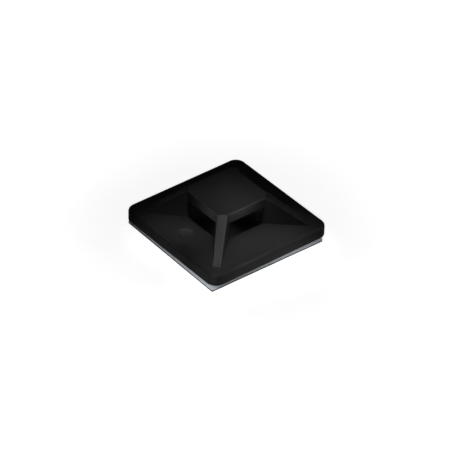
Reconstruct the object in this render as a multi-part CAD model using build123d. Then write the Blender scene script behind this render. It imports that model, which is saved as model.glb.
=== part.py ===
from build123d import *
import math
import os

# Cable tie mount, in millimetres.
# A square moulded base carries a small square tower, open on all four sides so that a tie
# can cross it either way. The tower is hollow, and its hollow goes on down into the base as
# a pocket. Four webs run down from the tower's corners to the base's corners.
# Under the base lies a double-sided foam pad, and under the pad its release liner.
# The origin is the centre of the base, at the underside of the liner. +Z is up, and the
# windows look along X and Y.

# Foam pad and release liner
pad_side = 28.5
foam_thickness = 0.85
liner_thickness = 0.15
pad_shift_x = 0.2
pad_shift_y = -0.5
pad_turn = -0.7

# Moulded base
base_side = 30.0
base_corner_radius = 2.25
base_edge_height = 2.5
base_edge_round = 0.6
rim_width = 1.0
rim_step = 0.1
rim_step_slope = 65

# Tower
tower_side = 13.0
tower_height = 6.2
tower_edge_round = 0.25
roof_thickness = 2.2
window_width = 9.2
post_wall = 0.7
sill_lip = 0.1
pocket_depth = 1.8
pocket_corner_radius = 0.5

# Corner webs
web_top_width = 2.3
web_foot_width = 1.85
web_edge_round = 0.2
web_foot_gap = 3.1
web_draft = 1.5

# Gate mark
gate_offset_x = -0.4
gate_inset = 4.5
gate_dimple_diameter = 3.8
gate_dimple_depth = 0.3
gate_stub_diameter = 0.9
gate_stub_height = 0.2

# Levels and reaches that follow from the sizes above
foam_bottom_z = liner_thickness
base_bottom_z = foam_bottom_z + foam_thickness
rim_z = base_bottom_z + base_edge_height
field_z = rim_z - rim_step
roof_z = rim_z + tower_height
ceiling_z = roof_z - roof_thickness
field_side = base_side - 2 * rim_width
field_corner_radius = base_corner_radius - rim_width / 2
base_corner_reach = base_side / math.sqrt(2) - base_corner_radius * (math.sqrt(2) - 1)
web_top_reach = tower_side / math.sqrt(2) - web_top_width / 2
web_foot_reach = base_corner_reach - web_foot_gap
web_draft_spread = (roof_z - field_z) * math.tan(math.radians(web_draft))
hollow_side = tower_side - 2 * post_wall
pocket_reach = tower_side - 2 * sill_lip
pocket_z = field_z - pocket_depth


def make_base():
    """Base plate with a rounded top edge and a shallow sloping step down inside its rim."""
    outline = RectangleRounded(base_side, base_side, base_corner_radius)
    plate = Pos(0, 0, base_bottom_z) * extrude(outline, amount=base_edge_height)
    top_edges = plate.faces().sort_by(Axis.Z)[-1].edges()
    plate = fillet(top_edges, base_edge_round)
    floor_outline = RectangleRounded(field_side, field_side, field_corner_radius)
    recess = extrude(floor_outline, amount=rim_step, taper=-rim_step_slope)
    return plate - Pos(0, 0, field_z) * recess


def make_slope_block(width):
    """Block that ends under the webs' slopes towards +X and -X, and is as wide as told."""
    side_view = Plane.XZ * Polygon(
        (-web_foot_reach, field_z),
        (web_foot_reach, field_z),
        (web_top_reach, roof_z),
        (-web_top_reach, roof_z),
        align=None,
    )
    return extrude(side_view, amount=width / 2, both=True)


def make_tower():
    """Solid square tower on the field, with its four corners cut off by the webs' slopes."""
    tower = Pos(0, 0, field_z) * Box(
        tower_side,
        tower_side,
        roof_z - field_z,
        align=(Align.CENTER, Align.CENTER, Align.MIN),
    )
    for turn in (45, -45):
        tower = tower & Rot(0, 0, turn) * make_slope_block(2 * tower_side)
    roof_edges = tower.faces().sort_by(Axis.Z)[-1].edges()
    return fillet(roof_edges, tower_edge_round)


def make_web_pair():
    """Two opposite webs in one piece along X, each narrower at its foot, with drafted sides."""
    root_width = web_top_width + 2 * web_draft_spread
    widening = (root_width - web_foot_width) / (web_foot_reach - web_top_reach)
    middle_width = web_foot_width + web_foot_reach * widening
    plan_view = Polygon(
        (-web_foot_reach, -web_foot_width / 2),
        (0, -middle_width / 2),
        (web_foot_reach, -web_foot_width / 2),
        (web_foot_reach, web_foot_width / 2),
        (0, middle_width / 2),
        (-web_foot_reach, web_foot_width / 2),
        align=None,
    )
    column = extrude(plan_view, amount=roof_z - field_z, taper=web_draft)
    column = Pos(0, 0, field_z) * column
    pair = column & make_slope_block(base_side)
    slopes = pair.faces().filter_by(lambda face: 0.1 < face.normal_at().Z < 0.99)
    slope_edges = ShapeList()
    for slope in slopes:
        slope_edges += slope.edges().filter_by(lambda edge: edge.length > web_top_width)
    return fillet(slope_edges, web_edge_round)


def make_tie_tunnels():
    """Two crossing tunnels through the tower, from the field up to the roof's underside."""
    tunnel = Box(
        field_side - web_foot_gap,
        window_width,
        ceiling_z - field_z,
        align=(Align.CENTER, Align.CENTER, Align.MIN),
    )
    crossing = tunnel + Rot(0, 0, 90) * tunnel
    return Pos(0, 0, field_z) * crossing


def make_tower_hollow():
    """Hollow inside the tower's corner posts, down to the floor of the pocket in the base."""
    room_outline = RectangleRounded(hollow_side, hollow_side, pocket_corner_radius)
    arm_outline = Rectangle(pocket_reach, window_width)
    room = extrude(room_outline, amount=ceiling_z - pocket_z)
    arms = extrude(arm_outline + Rot(0, 0, 90) * arm_outline, amount=pocket_depth)
    return Pos(0, 0, pocket_z) * (room + arms)


def make_gate_dimple():
    """Shallow round hollow left by the moulding gate, with the gate's stub inside."""
    hollow_radius = gate_dimple_diameter / 2
    ball_radius = (hollow_radius**2 + gate_dimple_depth**2) / (2 * gate_dimple_depth)
    ball = Pos(0, 0, ball_radius - gate_dimple_depth) * Sphere(ball_radius)
    bottom_up = (Align.CENTER, Align.CENTER, Align.MIN)
    bottom = Pos(0, 0, -gate_dimple_depth)
    hollow = ball & bottom * Cylinder(hollow_radius, gate_dimple_depth, align=bottom_up)
    stub = bottom * Cylinder(gate_stub_diameter / 2, gate_stub_height, align=bottom_up)
    gate_y = -base_side / 2 + gate_inset
    return Pos(gate_offset_x, gate_y, field_z) * (hollow - stub)


def make_mount_body():
    """The whole nylon moulding as one solid."""
    body = make_base() + make_tower()
    web_pair = make_web_pair()
    for turn in (45, -45):
        body += Rot(0, 0, turn) * web_pair
    body -= make_tie_tunnels()
    body -= make_tower_hollow()
    return body - make_gate_dimple()


def make_pad_layer(thickness, z):
    """One square layer under the base, laid slightly askew as it was stuck on."""
    layer = Box(pad_side, pad_side, thickness, align=(Align.CENTER, Align.CENTER, Align.MIN))
    return Pos(pad_shift_x, pad_shift_y, z) * Rot(0, 0, pad_turn) * layer


sub_parts = {
    "mount_body": make_mount_body(),
    "foam_pad": make_pad_layer(foam_thickness, foam_bottom_z),
    "release_liner": make_pad_layer(liner_thickness, 0),
}

os.makedirs("parts", exist_ok=True)
for node, shape in sub_parts.items():
    export_step(shape, f"parts/{node}.step")
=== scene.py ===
"""Looks of the cable tie mount: its black moulding, foam pad, release liner and the studio.

Everything is in metres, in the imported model's own frame. The origin is the centre of the base
at the underside of the release liner, +Z is up, and the tie tunnels run along X and Y.
"""
import logging
import math
from dataclasses import dataclass
from enum import Enum

import bmesh
import bpy
import numpy as np
from mathutils import Matrix, Vector


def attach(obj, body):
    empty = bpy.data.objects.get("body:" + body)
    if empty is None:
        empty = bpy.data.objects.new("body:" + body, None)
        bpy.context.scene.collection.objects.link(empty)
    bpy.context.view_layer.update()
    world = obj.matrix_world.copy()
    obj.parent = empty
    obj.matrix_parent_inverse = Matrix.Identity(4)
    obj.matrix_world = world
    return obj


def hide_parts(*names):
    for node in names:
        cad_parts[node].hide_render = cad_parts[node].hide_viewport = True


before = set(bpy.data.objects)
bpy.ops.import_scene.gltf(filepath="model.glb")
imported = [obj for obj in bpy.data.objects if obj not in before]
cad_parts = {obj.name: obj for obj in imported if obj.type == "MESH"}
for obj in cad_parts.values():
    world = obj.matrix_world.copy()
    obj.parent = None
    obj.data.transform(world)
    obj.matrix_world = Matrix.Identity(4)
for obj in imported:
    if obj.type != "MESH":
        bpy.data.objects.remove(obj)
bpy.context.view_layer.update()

LOG = logging.getLogger("cable_tie_mount")
MM = 0.001
Colour = tuple[float, float, float, float]
Point = tuple[float, float, float]
Socket = bpy.types.NodeSocket


class Slot(Enum):
    """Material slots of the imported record."""

    NYLON = "black_nylon"
    FOAM = "pale_foam"
    LINER = "liner_paper"


# Node groups and materials


class Graph:
    """Small helper that adds and joins nodes in one node tree."""

    def __init__(self, tree: bpy.types.NodeTree) -> None:
        """Keeps the tree that nodes are added to.

        Args:
            tree: the node tree of a material, a world or a group.
        """
        self.tree = tree

    def add(self, kind: str, **values: object) -> bpy.types.Node:
        """Adds a node, and sets its properties and input sockets by name.

        Args:
            kind: the node's bl_idname.
            values: property names, or socket names with spaces written as underscores.

        Returns:
            The new node.
        """
        node = self.tree.nodes.new(kind)
        for name, value in values.items():
            if hasattr(node, name):
                setattr(node, name, value)
            else:
                node.inputs[name.replace("_", " ")].default_value = value
        return node

    def join(self, source: Socket, target: Socket) -> None:
        """Links an output socket to an input socket."""
        self.tree.links.new(source, target)

    def math(self, operation: str, *values: object) -> Socket:
        """Adds a Math node whose inputs are sockets or numbers.

        Args:
            operation: the Math node's operation.
            values: its inputs in order, each a socket or a number.

        Returns:
            The node's output socket.
        """
        node = self.add("ShaderNodeMath", operation=operation)
        for index, value in enumerate(values):
            if isinstance(value, Socket):
                self.join(value, node.inputs[index])
            else:
                node.inputs[index].default_value = value
        return node.outputs[0]

    def texture(self, group: bpy.types.NodeTree, scale: float, where: Socket) -> bpy.types.Node:
        """Adds the fine grain group.

        Args:
            group: the fine grain group.
            scale: its scale.
            where: the coordinates that it is looked up at.

        Returns:
            The group's node, with the outputs Height and Mask.
        """
        node = self.add("ShaderNodeGroup", node_tree=group, Scale=scale)
        self.join(where, node.inputs["Vector"])
        return node

    def blend(self, low: Colour, high: Colour, amount: Socket) -> Socket:
        """Adds a mix of two colours.

        Args:
            low: the colour where the amount is 0.
            high: the colour where the amount is 1.
            amount: the share of the second colour.

        Returns:
            The mixed colour.
        """
        node = self.add("ShaderNodeMix", data_type="RGBA")
        node.inputs["A"].default_value = low
        node.inputs["B"].default_value = high
        self.join(amount, node.inputs["Factor"])
        return node.outputs["Result"]

    def bump(self, height: Socket, depth: float) -> bpy.types.Node:
        """Adds a bump.

        Args:
            height: its height, from 0 to 1.
            depth: the depth in metres that a height of 1 stands for.

        Returns:
            The bump's node, with an input and an output Normal.
        """
        node = self.add("ShaderNodeBump", Strength=1.0, Distance=depth)
        self.join(height, node.inputs["Height"])
        return node


def new_group(
    name: str, inputs: dict[str, tuple[str, float]], outputs: dict[str, str]
) -> tuple[bpy.types.NodeTree, Graph, bpy.types.Node, bpy.types.Node]:
    """Makes an empty shader node group with named sockets.

    Args:
        name: the group's name.
        inputs: socket name to its kind and default value.
        outputs: socket name to its kind.

    Returns:
        The group's tree, its Graph, and its input and output nodes.
    """
    tree = bpy.data.node_groups.new(name, "ShaderNodeTree")
    for socket_name, (kind, value) in inputs.items():
        socket = tree.interface.new_socket(socket_name, in_out="INPUT", socket_type=kind)
        if kind == "NodeSocketFloat":
            socket.default_value = value
    for socket_name, kind in outputs.items():
        tree.interface.new_socket(socket_name, in_out="OUTPUT", socket_type=kind)
    graph = Graph(tree)
    return tree, graph, graph.add("NodeGroupInput"), graph.add("NodeGroupOutput")


def grain_group(default_scale: float = 4000.0, mask_share: float = 0.08) -> bpy.types.NodeTree:
    """Fine even grain: a noise for the height, and a slower noise beside it for the mask.

    Args:
        default_scale: the Scale where a material sets none.
        mask_share: the mask's scale as a share of the height's.

    Returns:
        The group, with a Scale input and the outputs Height and Mask, both from 0 to 1.
    """
    tree, graph, inlet, outlet = new_group(
        "fine_grain",
        {"Vector": ("NodeSocketVector", 0.0), "Scale": ("NodeSocketFloat", default_scale)},
        {"Height": "NodeSocketFloat", "Mask": "NodeSocketFloat"},
    )
    fine = graph.add("ShaderNodeTexNoise", Detail=3.0, Roughness=0.6)
    slow = graph.add("ShaderNodeTexNoise", Detail=4.0, Roughness=0.55)
    for noise, share in ((fine, 1.0), (slow, mask_share)):
        graph.join(inlet.outputs["Vector"], noise.inputs["Vector"])
        graph.join(graph.math("MULTIPLY", inlet.outputs["Scale"], share), noise.inputs["Scale"])
    graph.join(fine.outputs["Fac"], outlet.inputs["Height"])
    graph.join(slow.outputs["Fac"], outlet.inputs["Mask"])
    return tree


def start_finish(name: str) -> tuple[bpy.types.Material, Graph, bpy.types.Node, Socket]:
    """Makes a material that only has its shader and object coordinates.

    Args:
        name: the material's name.

    Returns:
        The material, its Graph, its shader, and the socket of its object coordinates.
    """
    material = bpy.data.materials.new(name)
    material.use_nodes = True
    graph = Graph(material.node_tree)
    shader = material.node_tree.nodes["Principled BSDF"]
    return material, graph, shader, graph.add("ShaderNodeTexCoord").outputs["Object"]


@dataclass(frozen=True)
class BlackNylon:
    """Matte black nylon as it comes from a finely spark-eroded mould."""

    colour: Colour = (0.0062, 0.0064, 0.0066, 1.0)
    roughness: float = 0.61
    roughness_spread: float = 0.06
    grain_scale: float = 5200.0
    grain_depth: float = 0.004 * MM
    wave_scale: float = 160.0
    wave_depth: float = 0.02 * MM

    def make(self, grain: bpy.types.NodeTree) -> bpy.types.Material:
        """Builds the material: one colour, a slow waviness, and the grain upon it.

        Args:
            grain: the fine grain group.

        Returns:
            The material.
        """
        material, graph, shader, place = start_finish("black_nylon_finish")
        shader.inputs["Base Color"].default_value = self.colour
        texture = graph.texture(grain, self.grain_scale, place)
        half = self.roughness_spread / 2
        rough = graph.add(
            "ShaderNodeMapRange", To_Min=self.roughness - half, To_Max=self.roughness + half
        )
        graph.join(texture.outputs["Mask"], rough.inputs["Value"])
        graph.join(rough.outputs["Result"], shader.inputs["Roughness"])
        wave = graph.add("ShaderNodeTexNoise", Scale=self.wave_scale, Detail=1.0)
        graph.join(place, wave.inputs["Vector"])
        slow = graph.bump(wave.outputs["Fac"], self.wave_depth)
        fine = graph.bump(texture.outputs["Height"], self.grain_depth)
        graph.join(slow.outputs["Normal"], fine.inputs["Normal"])
        graph.join(fine.outputs["Normal"], shader.inputs["Normal"])
        return material


@dataclass(frozen=True)
class PaleFoam:
    """Closed-cell foam tape, cut through its cells at the sides."""

    colour: Colour = (0.86, 0.90, 0.95, 1.0)
    cell_colour: Colour = (0.68, 0.72, 0.77, 1.0)
    roughness: float = 0.85
    cell_scale: float = 4200.0

    def make(self, grain: bpy.types.NodeTree) -> bpy.types.Material:
        """Builds the material: darker cells in a pale foam.

        Args:
            grain: the fine grain group.

        Returns:
            The material.
        """
        material, graph, shader, place = start_finish("pale_foam_finish")
        shader.inputs["Roughness"].default_value = self.roughness
        texture = graph.texture(grain, self.cell_scale, place)
        colour = graph.blend(self.cell_colour, self.colour, texture.outputs["Height"])
        graph.join(colour, shader.inputs["Base Color"])
        return material


@dataclass(frozen=True)
class LinerPaper:
    """Coated paper of the release liner: faint fibres in its colour and a slight unevenness."""

    # The liner's very dark colour is partly the paper's own and partly painted shade: it stands
    # for the contact shadow along the tape's bottom edge.
    colour: Colour = (0.035, 0.039, 0.044, 1.0)
    fibre_colour: Colour = (0.065, 0.070, 0.077, 1.0)
    roughness: float = 0.55
    fibre_scale: float = 1500.0
    fibre_squeeze: Point = (1.0, 0.25, 1.0)
    fibre_depth: float = 0.006 * MM

    def make(self, grain: bpy.types.NodeTree) -> bpy.types.Material:
        """Builds the material: the grain drawn out along Y stands for the fibres.

        Args:
            grain: the fine grain group.

        Returns:
            The material.
        """
        material, graph, shader, place = start_finish("liner_paper_finish")
        shader.inputs["Roughness"].default_value = self.roughness
        squeezed = graph.add("ShaderNodeMapping", Scale=self.fibre_squeeze)
        graph.join(place, squeezed.inputs["Vector"])
        texture = graph.texture(grain, self.fibre_scale, squeezed.outputs["Vector"])
        colour = graph.blend(self.colour, self.fibre_colour, texture.outputs["Height"])
        graph.join(colour, shader.inputs["Base Color"])
        uneven = graph.bump(texture.outputs["Height"], self.fibre_depth)
        graph.join(uneven.outputs["Normal"], shader.inputs["Normal"])
        return material


# The object's pieces


def report(piece: bpy.types.Object) -> None:
    """Logs a piece's name, faces and size in mm."""
    size = " x ".join(f"{side / MM:.2f}" for side in piece.dimensions)
    LOG.info("%s: %d faces, %s mm", piece.name, len(piece.data.polygons), size)


def mark_creases(mesh: bpy.types.Mesh, angle: float) -> None:
    """Marks the edges of a closed mesh whose two faces meet at more than an angle as sharp.

    The angle is the arc cosine of the dot product of the two faces' normals.

    Args:
        mesh: a mesh whose edges all have two faces.
        angle: the largest angle that stays smooth.
    """
    normals = np.empty(len(mesh.polygons) * 3)
    mesh.polygons.foreach_get("normal", normals)
    sizes = np.empty(len(mesh.polygons), int)
    mesh.polygons.foreach_get("loop_total", sizes)
    edges = np.empty(len(mesh.loops), int)
    mesh.loops.foreach_get("edge_index", edges)
    order = np.argsort(edges, kind="stable")
    faces = np.repeat(np.arange(sizes.size), sizes)[order].reshape(-1, 2)
    pair = normals.reshape(-1, 3)[faces]
    meet = np.arccos(np.clip((pair[:, 0] * pair[:, 1]).sum(axis=1), -1.0, 1.0))
    if "sharp_edge" not in mesh.attributes:
        mesh.attributes.new("sharp_edge", "BOOLEAN", "EDGE")
    mesh.attributes["sharp_edge"].data.foreach_set("value", meet > angle)


@dataclass
class MountBody:
    """The black moulding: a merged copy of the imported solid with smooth, weighted normals."""

    node: str = "mount_body"
    merge_distance: float = 0.0005 * MM
    flat_angle: float = math.radians(0.5)
    smooth_angle: float = math.radians(28)

    def build(self, material: bpy.types.Material) -> bpy.types.Object:
        """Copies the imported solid, joins its loose triangles and dresses it.

        Args:
            material: the black nylon.

        Returns:
            The piece that stands for the moulding.
        """
        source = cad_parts[self.node]
        mesh = source.data.copy()
        mesh.name = "moulding"
        shell = bmesh.new()
        shell.from_mesh(mesh)
        bmesh.ops.remove_doubles(shell, verts=shell.verts, dist=self.merge_distance)
        bmesh.ops.dissolve_limit(
            shell, angle_limit=self.flat_angle, verts=shell.verts, edges=shell.edges
        )
        shell.to_mesh(mesh)
        shell.free()
        mesh.materials.clear()
        mesh.materials.append(material)
        piece = bpy.data.objects.new("moulding", mesh)
        bpy.context.scene.collection.objects.link(piece)
        if "custom_normal" in mesh.attributes:
            mesh.attributes.remove(mesh.attributes["custom_normal"])
        mesh.shade_smooth()
        mark_creases(mesh, self.smooth_angle)
        weighted = piece.modifiers.new("weighted", "WEIGHTED_NORMAL")
        weighted.keep_sharp = True
        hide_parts(self.node)
        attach(piece, "root")
        return piece


def square_outline(side: float, corner: float, count: int) -> np.ndarray:
    """Points round a square with rounded corners, in equal steps of its length.

    The outline is the square's core, pushed out by the corner radius: four straight runs joined
    by quarter circles, followed counter-clockwise from the middle of the +X side.

    Args:
        side: the square's side.
        corner: the radius of its corners.
        count: how many points.

    Returns:
        An array of count points, (x, y).
    """
    flat = side - 2 * corner
    arc = math.pi / 2 * corner
    run = (flat + arc) * 4
    way = (np.arange(count) / count * run + flat / 2) % run
    part, rest = np.divmod(way, flat + arc)
    along = np.clip(rest, 0.0, flat) - flat / 2
    turn = np.clip((rest - flat) / arc, 0.0, 1.0) * math.pi / 2
    x = flat / 2 + corner * np.cos(turn)
    y = along + corner * np.sin(turn)
    cos, sin = np.cos(part * math.pi / 2), np.sin(part * math.pi / 2)
    return np.stack([x * cos - y * sin, x * sin + y * cos], axis=1)


def close_grid(name: str, rings: np.ndarray) -> bpy.types.Object:
    """Makes a closed mesh from stacked rings, with a pole at the middle of both end rings.

    Args:
        name: the piece's name.
        rings: an array (rows, columns, 3), each row a ring, counter-clockwise seen from above.

    Returns:
        The piece, its faces pointing outwards.
    """
    rows, columns, _ = rings.shape
    bottom, top = rings[0].mean(axis=0), rings[-1].mean(axis=0)
    points = np.concatenate([rings.reshape(-1, 3), [bottom, top]])
    grid = np.arange(rows * columns).reshape(rows, columns)
    onward = np.roll(grid, -1, axis=1)
    quads = np.stack([grid[:-1], onward[:-1], onward[1:], grid[1:]], axis=2).reshape(-1, 4)
    low = np.stack([np.full(columns, rows * columns), onward[0], grid[0]], axis=1)
    high = np.stack([np.full(columns, rows * columns + 1), grid[-1], onward[-1]], axis=1)
    mesh = bpy.data.meshes.new(name)
    mesh.from_pydata(points.tolist(), [], quads.tolist() + low.tolist() + high.tolist())
    mesh.shade_smooth()
    piece = bpy.data.objects.new(name, mesh)
    bpy.context.scene.collection.objects.link(piece)
    return piece


@dataclass
class TapePad:
    """The adhesive tape under the moulding: a foam pad and the paper that covers its glue.

    Caps are the scales of the rings that close a flat face, from its middle outwards. The cell
    fields shape the dents of the cut cells: how many rows and columns a cell reaches to either
    side, what is added to the noise before it is clipped, the power that it is raised to, and
    the share of it that is left at the glued edges. The liner's arc is how much of a circle's
    radius its edge follows, and its roll is that circle's radius as a share of the height.
    """

    side: float = 28.5 * MM
    turn: float = math.radians(-0.95)
    shift: tuple[float, float] = (0.3 * MM, -0.5 * MM)
    lean: tuple[float, float] = (0.41 * MM, -0.3 * MM)
    columns: int = 960
    foam_low: float = 0.42 * MM
    foam_high: float = 1.0 * MM
    foam_corner: float = 0.12 * MM
    foam_rows: int = 13
    foam_caps: tuple[float, ...] = (0.25, 0.5, 0.75, 0.95)
    foam_inset: float = 0.002 * MM
    foam_waist: float = 0.04 * MM
    foam_crease: float = math.radians(50)
    cell_dent: float = 0.035 * MM
    cell_reach: tuple[int, int] = (1, 2)
    cell_offset: float = 0.1
    cell_power: float = 1.5
    cell_edge: float = 0.3
    seed: int = 7
    liner_columns: int = 480
    liner_corner: float = 0.1 * MM
    liner_rows: int = 7
    liner_caps: tuple[float, ...] = (0.3, 0.65, 0.97)
    liner_arc: float = 0.9
    liner_roll: float = 0.3
    liner_crease: float = math.radians(40)

    def place(
        self, outline: np.ndarray, scale: np.ndarray, inset: np.ndarray, levels: np.ndarray
    ) -> np.ndarray:
        """Turns a profile into rings: each row is the outline, shrunk, pulled in and lifted.

        A point is the outline's point times the row's scale, less the inset along the direction
        from the centre, turned by the tape's turn, moved by its shift and lifted to the level.
        It also moves by the lean times the square of its share of the way down to the liner.

        Args:
            outline: (columns, 2) points round the square.
            scale: (rows,) share of the outline's size.
            inset: (rows, columns) distance pulled in.
            levels: (rows,) height above the table.

        Returns:
            (rows, columns, 3) points.
        """
        reach = np.abs(outline).max(axis=1)
        share = scale[:, None] - inset / reach[None, :]
        flat = outline[None] * share[..., None]
        height = np.repeat(levels[:, None], reach.size, axis=1)
        cos, sin = math.cos(self.turn), math.sin(self.turn)
        down = (self.foam_high - height) / (self.foam_high - self.foam_low)
        down = np.clip(down, 0.0, 1.0) ** 2
        x = flat[..., 0] * cos - flat[..., 1] * sin + self.shift[0] + self.lean[0] * down
        y = flat[..., 0] * sin + flat[..., 1] * cos + self.shift[1] + self.lean[1] * down
        return np.stack([x, y, height], axis=2)

    def cut_cells(self) -> np.ndarray:
        """Dents of the cells that the knife opened in the foam's sides.

        A dent is a power of the clipped value of noise, smoothed over the length of a cell.

        Returns:
            (rows, columns) depth of the dents.
        """
        dice = np.random.default_rng(self.seed)
        noise = dice.standard_normal((self.foam_rows, self.columns))
        for axis in (1, 0):
            reach = self.cell_reach[axis]
            noise = sum(np.roll(noise, k, axis=axis) for k in range(-reach, reach + 1))
        noise /= np.abs(noise).max()
        dent = np.clip(noise + self.cell_offset, 0.0, 1.0) ** self.cell_power * self.cell_dent
        dent[[0, -1]] *= self.cell_edge
        return dent

    def build_foam(self, material: bpy.types.Material) -> bpy.types.Object:
        """Builds the foam pad: flat glued faces, and cut sides with a waist and open cells.

        The sides' inset is a half wave over their height times the waist, plus the cut cells.

        Args:
            material: the foam's finish.

        Returns:
            The foam pad.
        """
        outline = square_outline(self.side, self.foam_corner, self.columns)
        way_up = np.linspace(0.0, 1.0, self.foam_rows)
        waist = np.sin(np.pi * way_up)[:, None] * self.foam_waist
        caps = np.array(self.foam_caps)
        none = np.zeros((caps.size, self.columns))
        scale = np.concatenate([caps, np.ones(way_up.size), caps[::-1]])
        inset = np.concatenate([none, waist + self.cut_cells() + self.foam_inset, none])
        low, high = self.foam_low, self.foam_high
        side = low + (high - low) * way_up
        levels = np.concatenate([np.full(caps.size, low), side, np.full(caps.size, high)])
        pad = close_grid("foam", self.place(outline, scale, inset, levels))
        pad.data.set_sharp_from_angle(angle=self.foam_crease)
        pad.data.materials.append(material)
        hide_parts("foam_pad")
        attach(pad, "root")
        return pad

    def build_liner(self, material: bpy.types.Material) -> bpy.types.Object:
        """Builds the release liner: a thin sheet with softly rolled cut edges.

        The edge's inset follows a circle's arc over the sheet's height, so that the sheet is
        widest at its middle.

        Args:
            material: the liner's finish.

        Returns:
            The liner.
        """
        outline = square_outline(self.side, self.liner_corner, self.liner_columns)
        roll = np.linspace(-1.0, 1.0, self.liner_rows)
        edge = (1 - np.sqrt(1 - (roll * self.liner_arc) ** 2)) * self.foam_low * self.liner_roll
        caps = np.array(self.liner_caps)
        none = np.zeros(caps.size)
        scale = np.concatenate([caps, np.ones(roll.size), caps[::-1]])
        inset = np.concatenate([none, edge, none])[:, None] + np.zeros((1, self.liner_columns))
        levels = np.concatenate([none, (roll + 1) / 2 * self.foam_low, none + self.foam_low])
        liner = close_grid("liner", self.place(outline, scale, inset, levels))
        liner.data.set_sharp_from_angle(angle=self.liner_crease)
        liner.data.materials.append(material)
        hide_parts("release_liner")
        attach(liner, "root")
        return liner


# The studio


@dataclass(frozen=True)
class SoftLamp:
    """A soft lamp that hangs at its spot and faces its aim: a bare square or a shaded disc.

    Lengths are in mm. The shade is the half angle in degrees at which the lamp's pool of light
    has faded to nothing, and 0 leaves the lamp bare.
    """

    name: str
    spot: Point
    size: float
    radiance: float
    aim: Point = (0.0, 0.0, 1.0)
    shade: float = 0.0


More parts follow.
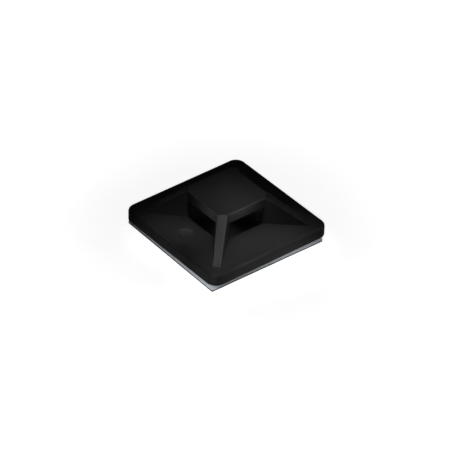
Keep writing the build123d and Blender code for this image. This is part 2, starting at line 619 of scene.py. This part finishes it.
@dataclass
class Studio:
    """Pale floor, soft lamps and the photograph's camera.

    The camera's angles are in degrees, and its centre and focal length in pixels of the photo.
    The floor pool is where the floor's own glow begins to grow and where it reaches white.
    """

    azimuth: float = 50.7
    elevation: float = 37.0
    roll: float = 1.394
    distance: float = 0.62786
    focal_pixels: float = 3052.0
    frame_pixels: float = 452.0
    centre_pixels: tuple[float, float] = (226.112, 225.432)
    target: Point = (0.0, 0.0, 1.0 * MM)
    sensor_mm: float = 36.0
    nearest: float = 0.01
    floor_side: float = 3.0
    floor_colour: Colour = (0.7, 0.7, 0.7, 1.0)
    floor_white: float = 0.9
    floor_pool: tuple[float, float] = (19.0 * MM, 42.0 * MM)
    world_colour: Colour = (1.0, 1.0, 1.0, 1.0)
    world_level: float = 0.012
    lamps: tuple[SoftLamp, ...] = (
        # Over the tower's roof and the base's field
        SoftLamp("top_lamp", (12.0, -12.0, 45.0), 8.0, 11.0, (11.0, -2.0, 3.0), 20.0),
        SoftLamp("right_top_lamp", (18.0, -5.0, 38.0), 10.0, 19.0, (12.0, -1.0, 3.0), 20.0),
        SoftLamp("far_right_lamp", (84.0, 84.0, 30.0), 48.0, 9.0, (8.0, 4.0, 3.0), 8.0),
        SoftLamp("plate_lamp", (-8.0, 8.0, 40.0), 12.0, 4.8, (2.0, 0.0, 9.0), 15.0),
        SoftLamp("left_field_lamp", (-8.0, -14.0, 40.0), 10.0, 16.0, (-4.0, -12.8, 3.0), 12.0),
        SoftLamp("left_sill_lamp", (-8.0, -14.0, 40.0), 10.0, 22.0, (-2.0, -10.0, 3.0), 9.0),
        SoftLamp("front_field_lamp", (14.0, -14.0, 40.0), 10.0, 27.0, (12.0, -13.0, 3.0), 10.0),
        SoftLamp("right_field_lamp", (12.0, 12.0, 40.0), 12.0, 14.0, (13.0, 6.0, 3.0), 12.0),
        SoftLamp("right_sill_lamp", (12.0, -2.0, 25.0), 4.0, 42.0, (7.4, -3.0, 3.4), 9.0),
        SoftLamp("far_sill_lamp", (14.0, 3.0, 25.0), 4.0, 16.0, (7.6, 2.0, 3.4), 9.0),
        # On the tower's sides, the front web, the gate mark and the pocket
        SoftLamp("left_lintel_lamp", (8.0, -45.0, 17.0), 6.0, 140.0, (3.3, -7.0, 10.0), 6.5),
        SoftLamp("right_lintel_lamp", (45.0, -8.0, 14.0), 6.0, 200.0, (6.5, -1.4, 11.5), 7.4),
        SoftLamp("web_side_lamp", (45.0, 15.0, 14.0), 6.0, 45.0, (10.5, -9.2, 5.0), 6.5),
        SoftLamp("gate_lamp", (20.0, -45.0, 20.0), 2.0, 2400.0, (-0.6, -9.9, 3.3), 2.4),
        SoftLamp("pocket_lamp", (0.0, -34.0, 27.0), 5.0, 240.0, (3.0, -3.0, 1.6), 5.0),
        # On the base's sides and the tape's cut edges, and a little over everything
        SoftLamp("right_wall_lamp", (70.0, 30.0, 5.0), 8.0, 56.0, (15.0, 5.0, -6.0), 10.0),
        SoftLamp("low_front_lamp", (45.0, -83.0, 10.0), 12.0, 60.0, (0.0, 0.0, -20.0), 19.7),
        SoftLamp("overhead_lamp", (0.0, 0.0, 300.0), 100.0, 0.8),
    )

    def add_camera(self) -> None:
        """Places the camera at the photograph's viewing angle."""
        data = bpy.data.cameras.new("photo_camera")
        camera = bpy.data.objects.new("photo_camera", data)
        bpy.context.scene.collection.objects.link(camera)
        data.sensor_width = self.sensor_mm
        data.lens = data.sensor_width * self.focal_pixels / self.frame_pixels
        half = self.frame_pixels / 2
        data.shift_x = -(self.centre_pixels[0] - half) / self.frame_pixels
        data.shift_y = (self.centre_pixels[1] - half) / self.frame_pixels
        data.clip_start = self.nearest
        turn, tilt, roll = (math.radians(v) for v in (self.azimuth, self.elevation, self.roll))
        back = Vector((
            math.sin(turn) * math.cos(tilt), -math.cos(turn) * math.cos(tilt), math.sin(tilt)
        ))
        right = Vector((math.cos(turn), math.sin(turn), 0.0))
        up = back.cross(right)
        rolled_right = right * math.cos(roll) + up * math.sin(roll)
        rolled_up = up * math.cos(roll) - right * math.sin(roll)
        rotation = Matrix((rolled_right, rolled_up, back)).transposed().to_4x4()
        spot = Vector(self.target) + back * self.distance
        camera.matrix_world = Matrix.Translation(spot) @ rotation
        bpy.context.scene.camera = camera

    def add_floor(self) -> None:
        """Lays the pale floor under the liner.

        Its own glow, which only the camera sees, lifts it to the photo's white. The glow is a
        little lower round the object, so that the object's shadow shows there.
        """
        half = self.floor_side / 2
        corners = [(-half, -half, 0.0), (half, -half, 0.0), (half, half, 0.0), (-half, half, 0.0)]
        mesh = bpy.data.meshes.new("floor")
        mesh.from_pydata(corners, [], [(0, 1, 2, 3)])
        floor = bpy.data.objects.new("floor", mesh)
        bpy.context.scene.collection.objects.link(floor)
        material, graph, shader, place = start_finish("floor_finish")
        shader.inputs["Base Color"].default_value = self.floor_colour
        shader.inputs["Roughness"].default_value = 1.0
        shader.inputs["Specular IOR Level"].default_value = 0.0
        reach = graph.add("ShaderNodeVectorMath", operation="LENGTH")
        graph.join(place, reach.inputs[0])
        white = graph.add(
            "ShaderNodeMapRange",
            interpolation_type="SMOOTHSTEP",
            From_Min=self.floor_pool[0],
            From_Max=self.floor_pool[1],
            To_Min=self.floor_white,
        )
        graph.join(reach.outputs["Value"], white.inputs["Value"])
        glow = graph.add("ShaderNodeEmission")
        graph.join(white.outputs["Result"], glow.inputs["Strength"])
        both = graph.add("ShaderNodeAddShader")
        graph.join(shader.outputs["BSDF"], both.inputs[0])
        graph.join(glow.outputs["Emission"], both.inputs[1])
        path = graph.add("ShaderNodeLightPath")
        mix = graph.add("ShaderNodeMixShader")
        graph.join(path.outputs["Is Camera Ray"], mix.inputs["Fac"])
        graph.join(shader.outputs["BSDF"], mix.inputs[1])
        graph.join(both.outputs["Shader"], mix.inputs[2])
        outlet = material.node_tree.nodes["Material Output"]
        graph.join(mix.outputs["Shader"], outlet.inputs["Surface"])
        mesh.materials.append(material)

    def add_lamp(self, lamp: SoftLamp) -> None:
        """Hangs one soft lamp that faces its aim.

        A bare lamp's power is its radiance times pi times its area. A shaded one is a spot lamp
        of the same area whose power is four times that, which gives the same brightness
        straight ahead.

        Args:
            lamp: where it hangs and faces, how large and bright it is, and its shade.
        """
        side = lamp.size * MM
        data = bpy.data.lights.new(lamp.name, "SPOT" if lamp.shade else "AREA")
        data.energy = lamp.radiance * math.pi * side**2
        if lamp.shade:
            data.energy *= 4.0
            data.shadow_soft_size = side / math.sqrt(math.pi)
            data.spot_size = math.radians(2 * lamp.shade)
            data.spot_blend = 1.0
        else:
            data.size = side
        spot = Vector(lamp.spot) * MM
        hung = bpy.data.objects.new(lamp.name, data)
        bpy.context.scene.collection.objects.link(hung)
        hung.location = spot
        hung.rotation_euler = (spot - Vector(lamp.aim) * MM).to_track_quat("Z", "Y").to_euler()
        hung.visible_camera = False

    def add_world(self) -> None:
        """Fills the surroundings with a faint level light that the camera sees as white."""
        world = bpy.data.worlds.new("surroundings")
        bpy.context.scene.world = world
        world.use_nodes = True
        graph = Graph(world.node_tree)
        background = world.node_tree.nodes["Background"]
        background.inputs["Color"].default_value = self.world_colour
        path = graph.add("ShaderNodeLightPath")
        level = graph.math("MAXIMUM", path.outputs["Is Camera Ray"], self.world_level)
        graph.join(level, background.inputs["Strength"])

    def build(self) -> None:
        """Sets up the camera, floor, lamps and surroundings."""
        self.add_camera()
        self.add_floor()
        for lamp in self.lamps:
            self.add_lamp(lamp)
        LOG.info("studio: a floor, a camera and %d lamps", len(self.lamps))
        self.add_world()
        bpy.context.scene.view_settings.view_transform = "Standard"


def main() -> None:
    """Builds the mount's pieces and the studio, and reports each one."""
    logging.basicConfig(level=logging.INFO, format="%(name)s: %(message)s")
    grain = grain_group()
    report(MountBody().build(BlackNylon().make(grain)))
    tape = TapePad()
    report(tape.build_foam(PaleFoam().make(grain)))
    report(tape.build_liner(LinerPaper().make(grain)))
    Studio().build()


if __name__ == "__main__":
    main()
